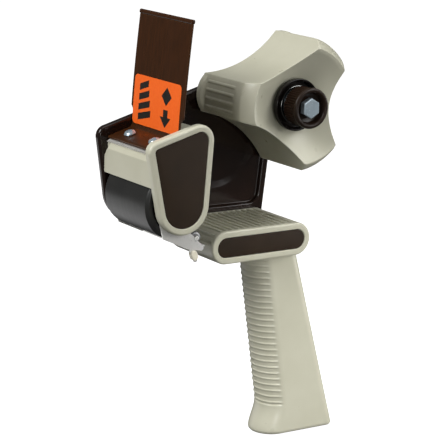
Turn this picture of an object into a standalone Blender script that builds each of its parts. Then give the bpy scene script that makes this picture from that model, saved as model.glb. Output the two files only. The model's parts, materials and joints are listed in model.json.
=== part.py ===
"""Pistol-grip tape dispenser for 50 mm tape on a 76 mm core.

Lengths are millimetres, x to the rear, y to the frame's side, z up, measured from the middle of the
tape hub's axis. The world origin is the middle of the handle's butt, and world() converts to metres.
"""

import math

import bmesh
import bpy
from mathutils import Vector

MM = 0.001
GAP = 0.3                      # clearance between touching pieces

# Driving dimensions
BUTT_X, BUTT_Z = 13.8, -194.5  # middle of the handle's butt, seen from the hub's axis
HUB_HALF = 23.7                # half the hub's length, for 50 mm tape
CORE_RADIUS = 38.2             # a 76 mm core fits over the hub's lobes
NEAR_FACE = -29.0              # outer face of the head cover
COVER_INSIDE = -24.3           # inner face of the head cover's side
RIM_FACE = 24.5                # inner face of the frame's rim
WEB_FACE = 26.6                # inner face of the frame's web
OUTER_FACE = 29.0              # outer face of the frame
HEAD_SLOPE = math.radians(16)  # rise of the head's top towards the hub

# Axes of the moving pieces, as (x, z)
HUB_AXIS = (0.0, 0.0)
ROLLER_AXIS = (-80.6, -47.8)
ROLLER_RADIUS = 19.2
ONE_WAY_RADIUS = 3.6
NIP_ANGLE = math.radians(-58)  # direction of the one-way roller from the rubber roller
NIP_REACH = ROLLER_RADIUS + ONE_WAY_RADIUS + GAP
ONE_WAY_AXIS = (
    ROLLER_AXIS[0] + NIP_REACH * math.cos(NIP_ANGLE),
    ROLLER_AXIS[1] + NIP_REACH * math.sin(NIP_ANGLE),
)
NIP_PIVOT = (-87.0, -57.0)

# Head
HEAD_TOP_FRONT = (-96.6, -17.3, 5.9)   # corner circles of the head's side outline: x, z, radius
HEAD_TOP_REAR = (-70.8, -13.3, 9.0)
HEAD_BOTTOM = (-79.9, -47.8, 15.9)
HEAD_OUTLINE = [HEAD_TOP_REAR, HEAD_TOP_FRONT, HEAD_BOTTOM]
RIM_WIDTH = 3.7
FOOT_POINT = (-89.5, -14.8)            # a point on the flap foot's upper face
FOOT_THICKNESS = 1.5
FOOT_FRONT, BEND_X = -97.0, -81.0
FLAP_THICKNESS = 1.3
FLAP_TOP = (-75.8, 51.5)
FLAP_WIDE = (-26.8, 26.3)              # the flap's edges above the head
FLAP_NARROW = (-24.0, 24.2)            # and between the cover's side and the frame
FLAP_SHOULDER = -2.0                   # height where the flap widens
BLADE_THICKNESS = 0.6
WALL = 2.0
FRONT_WALL_X = -98.7
FRONT_WALL_BOTTOM = -37.0
COVER_REAR_X = -61.8

# Platform and grip
PLATFORM_FRONT, PLATFORM_REAR = -45.9, 1.2
PLATFORM_Z, PLATFORM_RADIUS = -76.2, 9.4
PLATFORM_OUTLINE = [(PLATFORM_REAR, PLATFORM_Z, PLATFORM_RADIUS), (PLATFORM_FRONT, PLATFORM_Z, PLATFORM_RADIUS)]
PLATFORM_NEAR = -20.0
GROOVE_REAR, GROOVE_COUNT, GROOVE_PITCH = -1.5, 12, 4.0
GROOVE_HALF_WIDTH, GROOVE_DEPTH = 1.1, 1.1

# Hub and brake
LOBE_ANGLE = math.radians(174.4)
SCALLOP_DISTANCE, SCALLOP_RADIUS = 86.2, 64.1
HUB_WALL = 3.0
LIP_DISTANCE, LIP_RADIUS = 25.6, 15.0  # round lips on the lobes' far ends keep the roll off the frame
CUP_RADIUS = 14.7
KNOB_RADIUS = 11.4
KNOB_FRONT, KNOB_BACK = -31.2, -18.8

ROUND = 48                     # sides of the round pieces
SMALL_ROUND = 24


def world(x, y, z):
    return Vector((x - BUTT_X, y, z - BUTT_Z)) * MM


def clear_scene():
    for item in list(bpy.data.objects):
        bpy.data.objects.remove(item, do_unlink=True)


def material(name, colour, roughness, metallic=0.0):
    made = bpy.data.materials.new(name)
    made.use_nodes = True
    shader = made.node_tree.nodes["Principled BSDF"]
    shader.inputs["Base Color"].default_value = (*colour, 1.0)
    shader.inputs["Roughness"].default_value = roughness
    shader.inputs["Metallic"].default_value = metallic
    return made


def object_from(name, bm, finish, axis=None):
    """A named object from a bmesh in world metres, with its origin on the given (x, z) axis."""
    origin = world(axis[0], 0.0, axis[1]) if axis else world(0.0, 0.0, 0.0)
    bmesh.ops.translate(bm, verts=bm.verts, vec=-origin)
    bmesh.ops.recalc_face_normals(bm, faces=bm.faces)
    mesh = bpy.data.meshes.new(name)
    bm.to_mesh(mesh)
    bm.free()
    mesh.shade_smooth()
    mesh.set_sharp_from_angle(angle=math.radians(35))
    made = bpy.data.objects.new(name, mesh)
    made.location = origin
    bpy.context.scene.collection.objects.link(made)
    if finish:
        mesh.materials.append(finish)
    return made


def skin(bm, rings, closed=False):
    """Skins a list of equal rings of world points. A closed skin joins its last ring to its first."""
    rows = [[bm.verts.new(point) for point in ring] for ring in rings]
    count = len(rows[0])
    pairs = list(zip(rows, rows[1:]))
    if closed:
        pairs.append((rows[-1], rows[0]))
    for low, high in pairs:
        for i in range(count):
            j = (i + 1) % count
            bm.faces.new((low[i], low[j], high[j], high[i]))
    if not closed:
        bm.faces.new(rows[0])
        bm.faces.new(rows[-1])


def loft(name, rings, finish=None, axis=None, closed=False):
    bm = bmesh.new()
    skin(bm, rings, closed)
    return object_from(name, bm, finish, axis)


def turned(name, axis, profile, finish=None, sides=ROUND, bored=False, start=0.0):
    """Turns (radius, y) points about a Y axis. A bored profile is a loop that never reaches the axis."""
    rings = []
    for radius, y in profile:
        angles = [start + math.tau * i / sides for i in range(sides)]
        rings.append([world(axis[0] + radius * math.cos(a), y, axis[1] + radius * math.sin(a)) for a in angles])
    return loft(name, rings, finish, axis, closed=bored)


def tube(name, axis, inner, outer, y0, y1, finish, sides=ROUND, edge=0.2):
    """A ring with bevelled outer edges."""
    profile = [(inner, y0), (outer - edge, y0), (outer, y0 + edge)]
    profile += [(outer, y1 - edge), (outer - edge, y1), (inner, y1)]
    return turned(name, axis, profile, finish, sides, bored=True)


def rod(name, axis, radius, y0, y1, finish=None, sides=SMALL_ROUND, edge=0.3, start=0.0):
    """A round or many-sided bar along Y with small bevels at its ends."""
    profile = [(radius - edge, y0), (radius, y0 + edge), (radius, y1 - edge), (radius - edge, y1)]
    return turned(name, axis, profile, finish, sides, start=start)


def belt(circles, grow=0.0, step=math.radians(15)):
    """The outline round circles (x, z, radius), given anticlockwise, as a belt would run."""
    count = len(circles)
    normals = []
    for i in range(count):
        ax, az, ar = circles[i]
        bx, bz, br = circles[(i + 1) % count]
        along = math.atan2(bz - az, bx - ax)
        normals.append(along - math.acos((ar - br) / math.hypot(bx - ax, bz - az)))
    outline = []
    for i, (x, z, radius) in enumerate(circles):
        first = normals[i - 1]
        turn = (normals[i] - first) % math.tau
        pieces = max(1, math.ceil(turn / step))
        for k in range(pieces + 1):
            angle = first + turn * k / pieces
            outline.append((x + (radius + grow) * math.cos(angle), z + (radius + grow) * math.sin(angle)))
    return outline


def edge_levels(low, high, edge):
    """(level, inset) pairs that round both edges of a plate by edge."""
    if not edge:
        return [(low, 0.0), (high, 0.0)]
    turns = [math.radians(angle) for angle in (0, 45, 90)]
    corner = [(edge * (1 - math.cos(a)), edge * (1 - math.sin(a))) for a in turns]
    return [(low + rise, inset) for rise, inset in corner] + [(high - rise, inset) for rise, inset in reversed(corner)]


def belt_plate(name, circles, y0, y1, finish=None, axis=None, edge=0.0, grow=0.0):
    """A plate across Y with a belt outline and rounded edges."""
    levels = edge_levels(y0, y1, edge)
    rings = [[world(x, y, z) for x, z in belt(circles, grow - inset)] for y, inset in levels]
    return loft(name, rings, finish, axis)


def plate(name, outline, y0, y1, finish=None, axis=None):
    rings = [[world(x, y, z) for x, z in outline] for y in (y0, y1)]
    return loft(name, rings, finish, axis)


def block(name, x, y, z):
    """A plain box between two x, two y and two z."""
    return plate(name, [(x[0], z[0]), (x[1], z[0]), (x[1], z[1]), (x[0], z[1])], y[0], y[1])


def boolean(target, other, operation):
    made = target.modifiers.new(other.name, "BOOLEAN")
    made.operation = operation
    made.solver = "EXACT"
    made.object = other
    other.hide_render = True
    other.display_type = "WIRE"


def cut(target, *cutters):
    for cutter in cutters:
        boolean(target, cutter, "DIFFERENCE")


def join(target, *others):
    for other in others:
        boolean(target, other, "UNION")


def drill(target, axis, radius, y0, y1, sides=SMALL_ROUND):
    cutter = turned(f"{target.name}_drill_{len(target.modifiers)}", axis, [(radius, y0), (radius, y1)], sides=sides)
    cut(target, cutter)


def on_head(x, lift):
    """The (x, z) of a point above the flap foot's upper face, which slopes with the head's top."""
    z = FOOT_POINT[1] + (x - FOOT_POINT[0]) * math.tan(HEAD_SLOPE)
    return x - lift * math.sin(HEAD_SLOPE), z + lift * math.cos(HEAD_SLOPE)


def head_point(x, y, lift):
    place = on_head(x, lift)
    return world(place[0], y, place[1])


FLAP_BOTTOM = on_head(BEND_X, GAP)[1] + 0.3
FLAP_HINGE = (BEND_X, FLAP_BOTTOM)

# Lifts of the stack on the head, down from the flap foot's upper face
FOOT_UNDER = -FOOT_THICKNESS
BLADE_TOP = FOOT_UNDER - GAP
BLADE_UNDER = BLADE_TOP - BLADE_THICKNESS
COVER_TOP = BLADE_UNDER - GAP
COVER_TOP_UNDER = COVER_TOP - 3.2
FLAP_SCREW_X = FOOT_POINT[0]
FLAP_SCREWS = {"near": -12.7, "far": 12.7}

COVER_SCREWS = {"front": (-94.0, -28.0), "rear": (-66.8, -17.0)}
HANDLE_SCREWS = {"front": (-41.0, PLATFORM_Z), "middle": (-20.5, PLATFORM_Z), "rear": (0.0, PLATFORM_Z)}
SCREW_RADIUS, SCREW_HEAD_RADIUS = 1.7, 3.4
BOSS_RADIUS = 3.6
BRACKET_NEAR, BRACKET_FAR, SHEET = -24.0, 22.9, 1.0
SPRING_POST = (-57.5, -47.0)
SPRING_EAR = (-58.5, -71.6)            # upper face of the bracket's ear
SPRING_Y = 20.0
LEVER = [(-72.3, -71.0, 1.3), (-68.9, -79.3, 1.2)]
SLEEVE = [(-70.4, -75.6, 1.9), (-69.7, -77.4, 1.9)]


def head_circle(y, radius, lift):
    """World points round a flap screw's axis, which is square to the head's top."""
    centre = head_point(FLAP_SCREW_X, y, lift)
    along = Vector((math.cos(HEAD_SLOPE), 0.0, math.sin(HEAD_SLOPE)))
    across = Vector((0.0, 1.0, 0.0))
    angles = [math.tau * i / SMALL_ROUND for i in range(SMALL_ROUND)]
    return [centre + (along * math.cos(a) + across * math.sin(a)) * (radius * MM) for a in angles]


def drill_head(target, y, radius, lift0, lift1):
    """A hole square to the head's top, for a flap screw."""
    rings = [head_circle(y, radius, lift) for lift in (lift0, lift1)]
    cut(target, loft(f"{target.name}_drill_{len(target.modifiers)}", rings))


def head_bar(name, x0, x1, y0, y1, lift0, lift1, finish=None, axis=None):
    """A box that lies along the head's slope."""
    rings = [[head_point(x, y, lift) for x, y in ((x0, y0), (x1, y0), (x1, y1), (x0, y1))] for lift in (lift0, lift1)]
    return loft(name, rings, finish, axis)


def make_head_cover(finish):
    """Side, front, top and rear lip of the head in one moulding, with two long screw bosses."""
    cover = belt_plate("head_cover", HEAD_OUTLINE, NEAR_FACE, COVER_INSIDE, finish, edge=0.9)
    cut(cover, belt_plate("insert_recess", HEAD_OUTLINE, NEAR_FACE - 1, NEAR_FACE + 1.6, grow=-RIM_WIDTH))
    chamfer_x = -96.3
    rear_top = on_head(COVER_REAR_X, COVER_TOP)
    rear_inside = on_head(COVER_REAR_X - WALL, COVER_TOP_UNDER)
    front_inside = on_head(FRONT_WALL_X + WALL + 1.5, COVER_TOP_UNDER)
    lip_bottom = -24.0
    outline = [
        (FRONT_WALL_X, FRONT_WALL_BOTTOM),
        (FRONT_WALL_X + WALL, FRONT_WALL_BOTTOM),
        (FRONT_WALL_X + WALL, front_inside[1] - 1.5),
        front_inside,
        rear_inside,
        (COVER_REAR_X - WALL, lip_bottom),
        (COVER_REAR_X, lip_bottom),
        rear_top,
        on_head(chamfer_x, COVER_TOP),
        (FRONT_WALL_X, -23.6),
    ]
    join(cover, plate("cover_shell", outline, COVER_INSIDE - 0.5, RIM_FACE - GAP))
    for name, place in COVER_SCREWS.items():
        join(cover, rod(f"cover_boss_{name}", place, BOSS_RADIUS, COVER_INSIDE - 0.5, RIM_FACE - GAP))
        drill(cover, place, SCREW_RADIUS + GAP, 10.0, RIM_FACE)
    drill(cover, ROLLER_AXIS, 3.3, -26.3, COVER_INSIDE + 1)
    drill(cover, NIP_PIVOT, 2.1, -26.5, COVER_INSIDE + 1)
    for y in FLAP_SCREWS.values():
        drill_head(cover, y, SCREW_RADIUS + GAP, COVER_TOP_UNDER - 1, COVER_TOP + 1)
    return cover


def make_head_insert(finish):
    near, far = NEAR_FACE + 0.4, NEAR_FACE + 1.3
    return belt_plate("head_insert", HEAD_OUTLINE, near, far, finish, edge=0.3, grow=-RIM_WIDTH - GAP)


def make_flap_foot(finish):
    foot = head_bar("flap_foot", FOOT_FRONT, BEND_X + 0.8, *FLAP_NARROW, FOOT_UNDER, 0.0, finish)
    for y in FLAP_SCREWS.values():
        drill_head(foot, y, SCREW_RADIUS + GAP, FOOT_UNDER - 1, 1.0)
    return foot


def flap_x(z):
    """The flap stands up from the bend and leans back in a slight curve."""
    rise = (z - on_head(BEND_X, 0.0)[1]) / (FLAP_TOP[1] - on_head(BEND_X, 0.0)[1])
    return BEND_X + (FLAP_TOP[0] - BEND_X) * rise**1.4


def flap_ring(z, back, front, y0, y1):
    x = flap_x(z)
    return [world(x - front, y0, z), world(x + back, y0, z), world(x + back, y1, z), world(x - front, y1, z)]


def make_wipe_flap(finish):
    """The upright sheet with a bead along its free edge, hinged at the bend."""
    top = FLAP_TOP[1]
    half = FLAP_THICKNESS / 2
    bead_half, bead_height, rows = 1.1, 2.4, 8
    rings = [flap_ring(z, half, half, *FLAP_NARROW) for z in (FLAP_BOTTOM, FLAP_SHOULDER - 0.5)]
    for i in range(rows + 1):
        z = FLAP_SHOULDER + (top - bead_height - FLAP_SHOULDER) * i / rows
        rings.append(flap_ring(z, half, half, *FLAP_WIDE))
    for z, thick in ((top - bead_height + 0.4, bead_half), (top - 0.4, bead_half), (top, half)):
        rings.append(flap_ring(z, thick, thick, *FLAP_WIDE))
    return loft("wipe_flap", rings, finish, FLAP_HINGE)


def make_flap_label(finish):
    """A plain coloured sticker on the front of the flap."""
    front = FLAP_THICKNESS / 2 + GAP
    levels = [-10.5 + 27.0 * i / 4 for i in range(5)]
    rings = [flap_ring(z, -front, front + 0.3, -23.6, 24.0) for z in levels]
    return loft("flap_label", rings, finish, FLAP_HINGE)


def make_cutter_blade(finish):
    """A thin strip with a saw-toothed front edge, clamped under the flap's foot."""
    rear, root, tip = -84.0, -97.2, -99.2
    near, far, teeth = -22.0, 23.0, 20
    pitch = (far - near) / teeth
    outline = [(rear, near), (rear, far)]
    for i in range(teeth):
        outline += [(root, far - i * pitch), (tip, far - (i + 0.5) * pitch)]
    outline.append((root, near))
    rings = [[head_point(x, y, lift) for x, y in outline] for lift in (BLADE_UNDER, BLADE_TOP)]
    blade = loft("cutter_blade", rings, finish)
    for y in FLAP_SCREWS.values():
        drill_head(blade, y, SCREW_RADIUS + GAP, BLADE_UNDER - 1, BLADE_TOP + 1)
    return blade


SCREW_HEAD = [(SCREW_HEAD_RADIUS, 0.0), (SCREW_HEAD_RADIUS, 0.5), (2.8, 1.4), (1.5, 1.9)]
RECESS = (1.9, 0.35, 1.1)      # half length, half width and depth of the cross recess


def make_flap_screw(name, y, finish):
    """A pan-head cross-recess screw, square to the head's top."""
    profile = [(SCREW_RADIUS, COVER_TOP_UNDER + 0.4), (SCREW_RADIUS, GAP)]
    profile += [(radius, GAP + rise) for radius, rise in SCREW_HEAD]
    screw = loft(name, [head_circle(y, radius, lift) for radius, lift in profile], finish)
    length, width, depth = RECESS
    top = GAP + SCREW_HEAD[-1][1]
    for along, across in ((length, width), (width, length)):
        x = FLAP_SCREW_X
        slot = head_bar(f"{name}_slot_{along}", x - along, x + along, y - across, y + across, top - depth, top + 1)
        cut(screw, slot)
    return screw


def make_frame_screw(name, place, depth, finish):
    """A pan-head cross-recess screw through the frame from its outer face."""
    x, z = place
    face = OUTER_FACE + GAP
    profile = [(SCREW_RADIUS, depth), (SCREW_RADIUS, face)] + [(radius, face + rise) for radius, rise in SCREW_HEAD]
    screw = turned(name, place, profile, finish, SMALL_ROUND)
    length, width, recess = RECESS
    top = face + SCREW_HEAD[-1][1]
    for along, across in ((length, width), (width, length)):
        slot = block(f"{name}_slot_{along}", (x - along, x + along), (top - recess, top + 1), (z - across, z + across))
        cut(screw, slot)
    return screw


def make_side_frame(finish):
    """The plate that carries the hub, the head and the handle, recessed on its inner side."""
    outline = [(0.0, 0.0, 15.9), HEAD_TOP_FRONT, (*ROLLER_AXIS, 17.2), (-47.0, -77.0, 6.0), (2.3, -78.5, 5.0)]
    frame = belt_plate("side_frame", outline, RIM_FACE, OUTER_FACE, finish, edge=1.5)
    recess = [(0.0, 0.0, 11.2), (-50.0, -9.5, 6.0), (-51.0, -57.7, 6.0), (-1.8, -57.2, 6.8)]
    cut(frame, belt_plate("frame_recess", recess, RIM_FACE - 1, WEB_FACE))
    dish = [(31.2, WEB_FACE - 1.0), (24.5, WEB_FACE + 1.1)]
    cut(frame, turned("frame_dish", (-25.5, -24.9), dish, sides=64))
    drill(frame, HUB_AXIS, 5.0, RIM_FACE, OUTER_FACE + 1)
    drill(frame, ROLLER_AXIS, 3.3, RIM_FACE - 1, OUTER_FACE + 1)
    drill(frame, NIP_PIVOT, 2.1, RIM_FACE - 1, OUTER_FACE + 1)
    drill(frame, SPRING_POST, 1.5, RIM_FACE - 1, OUTER_FACE + 1)
    for place in [*COVER_SCREWS.values(), *HANDLE_SCREWS.values()]:
        drill(frame, place, SCREW_RADIUS + GAP, RIM_FACE - 1, OUTER_FACE + 1)
    return frame


def make_roller(rubber, plastic):
    """A rubber tyre on a plastic core with recessed ends."""
    near, far = -22.5, 22.6
    tyre = tube("roller_tyre", ROLLER_AXIS, 15.3, ROLLER_RADIUS, near, far, rubber, edge=1.6)
    bore, boss, rim, outer, recess = 3.3, 6.0, 13.0, 15.0, 5.0
    profile = [
        (bore, near), (boss, near), (boss, near + recess), (rim, near + recess), (rim, near), (outer, near),
        (outer, far), (rim, far), (rim, far - recess), (boss, far - recess), (boss, far), (bore, far),
    ]
    core = turned("roller_core", ROLLER_AXIS, profile, plastic, SMALL_ROUND, bored=True)
    return tyre, core


def hexagon_nut(name, axis, across_corners, bore, y0, y1, finish):
    nut = rod(name, axis, across_corners, y0, y1, finish, sides=6, edge=0.3, start=math.radians(30))
    drill(nut, axis, bore, y0 - 1, y1 + 1)
    return nut


def make_roller_axle(steel):
    rod("roller_axle", ROLLER_AXIS, 3.0, -26.0, 35.0, steel)
    tube("roller_axle_washer", ROLLER_AXIS, 3.3, 6.5, OUTER_FACE + GAP, 30.1, steel, SMALL_ROUND)
    hexagon_nut("roller_axle_nut", ROLLER_AXIS, 5.8, 3.3, 30.4, 34.0, steel)


def make_nip_bracket(finish):
    """A folded steel stirrup that holds the one-way roller against the rubber one.

    Its near cheek holds the roller's pin in an open notch, and its far cheek in a hole.
    """
    cheek = [(*NIP_PIVOT, 5.0), (-88.3, -64.6, 1.6), (-74.0, -71.2, 1.5), (-65.3, -73.0, 1.4)]
    bracket = belt_plate("nip_bracket", cheek, BRACKET_NEAR, BRACKET_NEAR + SHEET, finish, NIP_PIVOT)
    join(bracket, belt_plate("far_cheek", [*cheek, (*ONE_WAY_AXIS, 2.6)], BRACKET_FAR, BRACKET_FAR + SHEET))
    across = (BRACKET_NEAR + SHEET / 2, BRACKET_FAR + SHEET / 2)
    web = (SPRING_EAR[1] - 0.8, SPRING_EAR[1])
    join(bracket, block("bracket_web", (-74.5, -62.9), across, web))
    join(bracket, block("spring_ear", (-63.5, -57.0), (SPRING_Y - 2.5, SPRING_Y + 2.5), web))
    join(bracket, belt_plate("lever_tab", LEVER, BRACKET_NEAR, BRACKET_NEAR + SHEET))
    drill(bracket, NIP_PIVOT, 2.1, BRACKET_NEAR - 1, BRACKET_FAR + 2)
    drill(bracket, ONE_WAY_AXIS, 1.7, BRACKET_NEAR - 1, BRACKET_FAR + 2)
    return bracket


def make_nip(steel, knurled, cream):
    make_nip_bracket(steel)
    sleeve = belt_plate("lever_sleeve", SLEEVE, -25.2, -21.8, cream, NIP_PIVOT, edge=0.5)
    cut(sleeve, belt_plate("sleeve_slot", LEVER, BRACKET_NEAR - GAP, BRACKET_NEAR + SHEET + GAP, grow=GAP))
    tube("one_way_roller", ONE_WAY_AXIS, 1.7, ONE_WAY_RADIUS, -22.5, 22.4, knurled, SMALL_ROUND)
    rod("one_way_pin", ONE_WAY_AXIS, 1.4, BRACKET_NEAR, BRACKET_FAR + SHEET, steel, 16, edge=0.2)
    rod("nip_pivot_near", NIP_PIVOT, 1.8, -26.2, -22.8, steel, 16, edge=0.2)
    rod("nip_pivot_far", NIP_PIVOT, 1.8, 22.9, 28.8, steel, 16, edge=0.2)
    rod("spring_post", SPRING_POST, 1.2, 17.0, 28.5, steel, 16, edge=0.2)


def wire(name, points, radius, finish, axis=None):
    """A bent wire through world points, as a mesh-ready curve with closed ends."""
    origin = world(axis[0], 0.0, axis[1]) if axis else world(0.0, 0.0, 0.0)
    curve = bpy.data.curves.new(name, "CURVE")
    curve.dimensions = "3D"
    curve.bevel_depth = radius * MM
    curve.bevel_resolution = 1
    curve.use_fill_caps = True
    spline = curve.splines.new("POLY")
    spline.points.add(len(points) - 1)
    for item, point in zip(spline.points, points):
        item.co = (*(point - origin), 1.0)
    curve.materials.append(finish)
    made = bpy.data.objects.new(name, curve)
    made.location = origin
    bpy.context.scene.collection.objects.link(made)
    return made


def make_nip_spring(finish):
    """A tension coil from the post on the frame down to the bracket's ear."""
    top, bottom, coil, turns, steps = SPRING_POST[1] - 1.9, SPRING_EAR[1] + 0.4, 1.8, 8, 6
    hook = 4.0
    x_mid = (SPRING_POST[0] + SPRING_EAR[0]) / 2
    points = [world(SPRING_POST[0], SPRING_Y, top)]
    for i in range(turns * steps + 1):
        angle = math.tau * i / steps
        z = top - hook - (top - bottom - 2 * hook) * i / (turns * steps)
        points.append(world(x_mid + coil * math.cos(angle), SPRING_Y + coil * math.sin(angle), z))
    points.append(world(SPRING_EAR[0], SPRING_Y, bottom))
    return wire("nip_spring", points, 0.35, finish)


def make_brake_spring(finish):
    """A compression coil between the thrust washer and the spring seat."""
    start, end, coil, turns, steps = -18.0, -22.9, 7.8, 3.5, 10
    count = int(turns * steps)
    points = []
    for i in range(count + 1):
        angle = math.tau * i / steps
        y = start + (end - start) * i / count
        points.append(world(coil * math.cos(angle), y, coil * math.sin(angle)))
    return wire("brake_spring", points, 0.55, finish, HUB_AXIS)


def scallop_cutters(name, extra):
    """Three round hollows between the lobes, each a big cylinder beside the hub."""
    for i in range(3):
        angle = LOBE_ANGLE + math.radians(60 + 120 * i)
        centre = (SCALLOP_DISTANCE * math.cos(angle), SCALLOP_DISTANCE * math.sin(angle))
        ends = [(SCALLOP_RADIUS + extra, -HUB_HALF - 5), (SCALLOP_RADIUS + extra, HUB_HALF + 5)]
        yield turned(f"{name}_{i}", centre, ends, sides=144)


def core_rib(bm, angle):
    """A low rounded rib along a lobe, which grips the tape's core."""
    near, far, half, base, top = -9.0, 16.6, 0.9, CORE_RADIUS - 1.2, CORE_RADIUS + 0.45
    outward = Vector((math.cos(angle), 0.0, math.sin(angle)))
    sideways = Vector((-math.sin(angle), 0.0, math.cos(angle)))
    rings = []
    for radius, inset in ((base, 0.0), (top - 0.4, 0.0), (top, 0.45)):
        ring = []
        for i in range(12):
            turn = math.tau * i / 12
            y = (far if math.sin(turn) >= 0 else near) + (half - inset) * math.sin(turn)
            place = outward * radius + sideways * ((half - inset) * math.cos(turn))
            ring.append(world(place.x, y, place.z))
        rings.append(ring)
    skin(bm, rings)


def stop_lips():
    """A low crescent on each lobe's far end."""
    start, full, edge = 18.6, 20.8, 0.6
    profile = [
        (LIP_RADIUS - 2.6, start), (LIP_RADIUS, full), (LIP_RADIUS, HUB_HALF - edge), (LIP_RADIUS - edge, HUB_HALF),
    ]
    for i in range(3):
        angle = LOBE_ANGLE + math.radians(120 * i)
        yield turned(f"stop_lip_{i}", (LIP_DISTANCE * math.cos(angle), LIP_DISTANCE * math.sin(angle)), profile, sides=96)


def make_tape_hub(finish):
    """Three lobes with a dished near face and stop lips, hollow from the far side round a bearing tube."""
    outside = [
        (14.2, -13.4), (32.3, -23.5), (32.8, -HUB_HALF), (33.4, -23.4), (36.8, -20.0), (CORE_RADIUS, -16.5),
        (CORE_RADIUS, HUB_HALF - 0.8), (CORE_RADIUS - 0.8, HUB_HALF),
    ]
    hub = turned("tape_hub", HUB_AXIS, outside, finish, sides=96)
    join(hub, *stop_lips())
    cut(hub, *scallop_cutters("scallop", 0.0))
    thick = HUB_WALL
    inside = [(12.6, -13.4 + thick), (31.6, -19.6), (34.0, -17.6), (CORE_RADIUS - thick, -15.0)]
    inside.append((CORE_RADIUS - thick, HUB_HALF + 1))
    hollow = turned("hub_hollow", HUB_AXIS, inside, sides=72)
    cut(hollow, *scallop_cutters("hollow_wall", thick))
    cut(hollow, turned("bearing_tube", HUB_AXIS, [(11.5, -14.0), (11.5, HUB_HALF + 2)], sides=36))
    cut(hub, hollow)
    trim = [(11.8, 22.9), (11.8, HUB_HALF + 1)]
    cut(hub, turned("bearing_trim", HUB_AXIS, trim, sides=36))
    bm = bmesh.new()
    for lobe in range(3):
        for k in range(4):
            core_rib(bm, LOBE_ANGLE + math.radians(120 * lobe + 7.0 * (k - 1.5)))
    join(hub, object_from("core_ribs", bm, None))
    drill(hub, HUB_AXIS, 8.3, -HUB_HALF, HUB_HALF + 1, sides=36)
    return hub


def make_spindle(steel, washer, bushing):
    profile = [
        (3.3, -17.0), (5.7, -17.0), (6.0, -16.7), (6.0, 24.3), (10.5, 24.3), (10.5, 26.3), (4.7, 26.3),
        (4.7, 35.6), (4.3, 36.0), (3.3, 36.0),
    ]
    turned("spindle", HUB_AXIS, profile, steel, SMALL_ROUND, bored=True)
    tube("hub_bush", HUB_AXIS, 6.3, 8.0, -10.0, 22.6, bushing, SMALL_ROUND)
    tube("hub_washer", HUB_AXIS, 6.3, 10.4, 23.2, 24.0, washer, SMALL_ROUND)
    tube("spindle_washer", HUB_AXIS, 5.0, 10.0, OUTER_FACE + GAP, 30.6, steel, SMALL_ROUND)
    hexagon_nut("spindle_nut", HUB_AXIS, 8.6, 5.0, 30.9, 34.8, steel)


def make_brake(felt, black, brown, steel, zinc):
    """Felt disc, cup, washer, spring seat, knob and the bolt that squeezes them."""
    tube("friction_disc", HUB_AXIS, 6.4, 13.4, -14.6, -13.7, felt, SMALL_ROUND)
    cup = [
        (6.3, -14.9), (14.3, -14.9), (CUP_RADIUS, -15.3), (CUP_RADIUS, -17.9), (14.4, -18.2), (13.9, -18.2),
        (13.5, -17.9), (13.0, -16.3), (12.4, -15.9), (6.3, -15.9),
    ]
    turned("brake_cup", HUB_AXIS, cup, black, bored=True)
    tube("thrust_washer", HUB_AXIS, 6.4, 10.8, -17.0, -16.2, steel)
    tube("spring_seat", HUB_AXIS, 6.5, 9.0, -24.4, -23.7, steel, SMALL_ROUND)
    knob = [
        (3.3, -24.7), (9.4, -24.7), (9.4, KNOB_BACK), (10.6, KNOB_BACK), (10.9, KNOB_BACK - 0.4),
        (KNOB_RADIUS, -29.9), (KNOB_RADIUS - 0.1, -30.8), (10.9, KNOB_FRONT), (9.3, KNOB_FRONT), (8.8, -30.8),
        (8.5, -26.7), (3.3, -26.7),
    ]
    turned("brake_knob", HUB_AXIS, knob, brown, 36, bored=True)
    bolt = rod("brake_bolt", HUB_AXIS, 5.77, -31.0, -27.0, zinc, sides=6, edge=0.35, start=math.radians(30))
    join(bolt, turned("bolt_shank", HUB_AXIS, [(3.0, -28.0), (3.0, 3.6), (2.5, 4.0)], sides=SMALL_ROUND))
    return bolt


# Grip: its front and rear edges at the heights of the two reference sections
GRIP_TOP, GRIP_LOW = -94.0, -178.0
GRIP_FRONT_TOP, GRIP_FRONT_LOW = -20.7, -7.1
GRIP_REAR_TOP, GRIP_REAR_SLOPE = 11.0, 0.287
GRIP_HALF, NOSE_RADIUS, REAR_RADIUS = 13.0, 12.5, 6.0
FLARE_TOP, FLARE_REACH = -176.0, 6.5


def grip_front(z):
    straight = GRIP_FRONT_TOP + (GRIP_FRONT_LOW - GRIP_FRONT_TOP) * (z - GRIP_TOP) / (GRIP_LOW - GRIP_TOP)
    flare = min(max((FLARE_TOP - z) / (FLARE_TOP - BUTT_Z), 0.0), 1.0)
    return straight - FLARE_REACH * flare * flare * (3 - 2 * flare)


def grip_rear(z):
    return GRIP_REAR_TOP + GRIP_REAR_SLOPE * (GRIP_TOP - z)


def grip_ring(z, inset):
    """The grip's section: a round nose and two smaller rounds at the rear."""
    side = GRIP_HALF - REAR_RADIUS
    rear = grip_rear(z) - REAR_RADIUS
    circles = [
        (grip_front(z) + NOSE_RADIUS, 0.0, NOSE_RADIUS), (rear, -side, REAR_RADIUS), (rear, side, REAR_RADIUS)
    ]
    return [world(x, y, z) for x, y in belt(circles, -inset, math.radians(20))]


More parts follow.
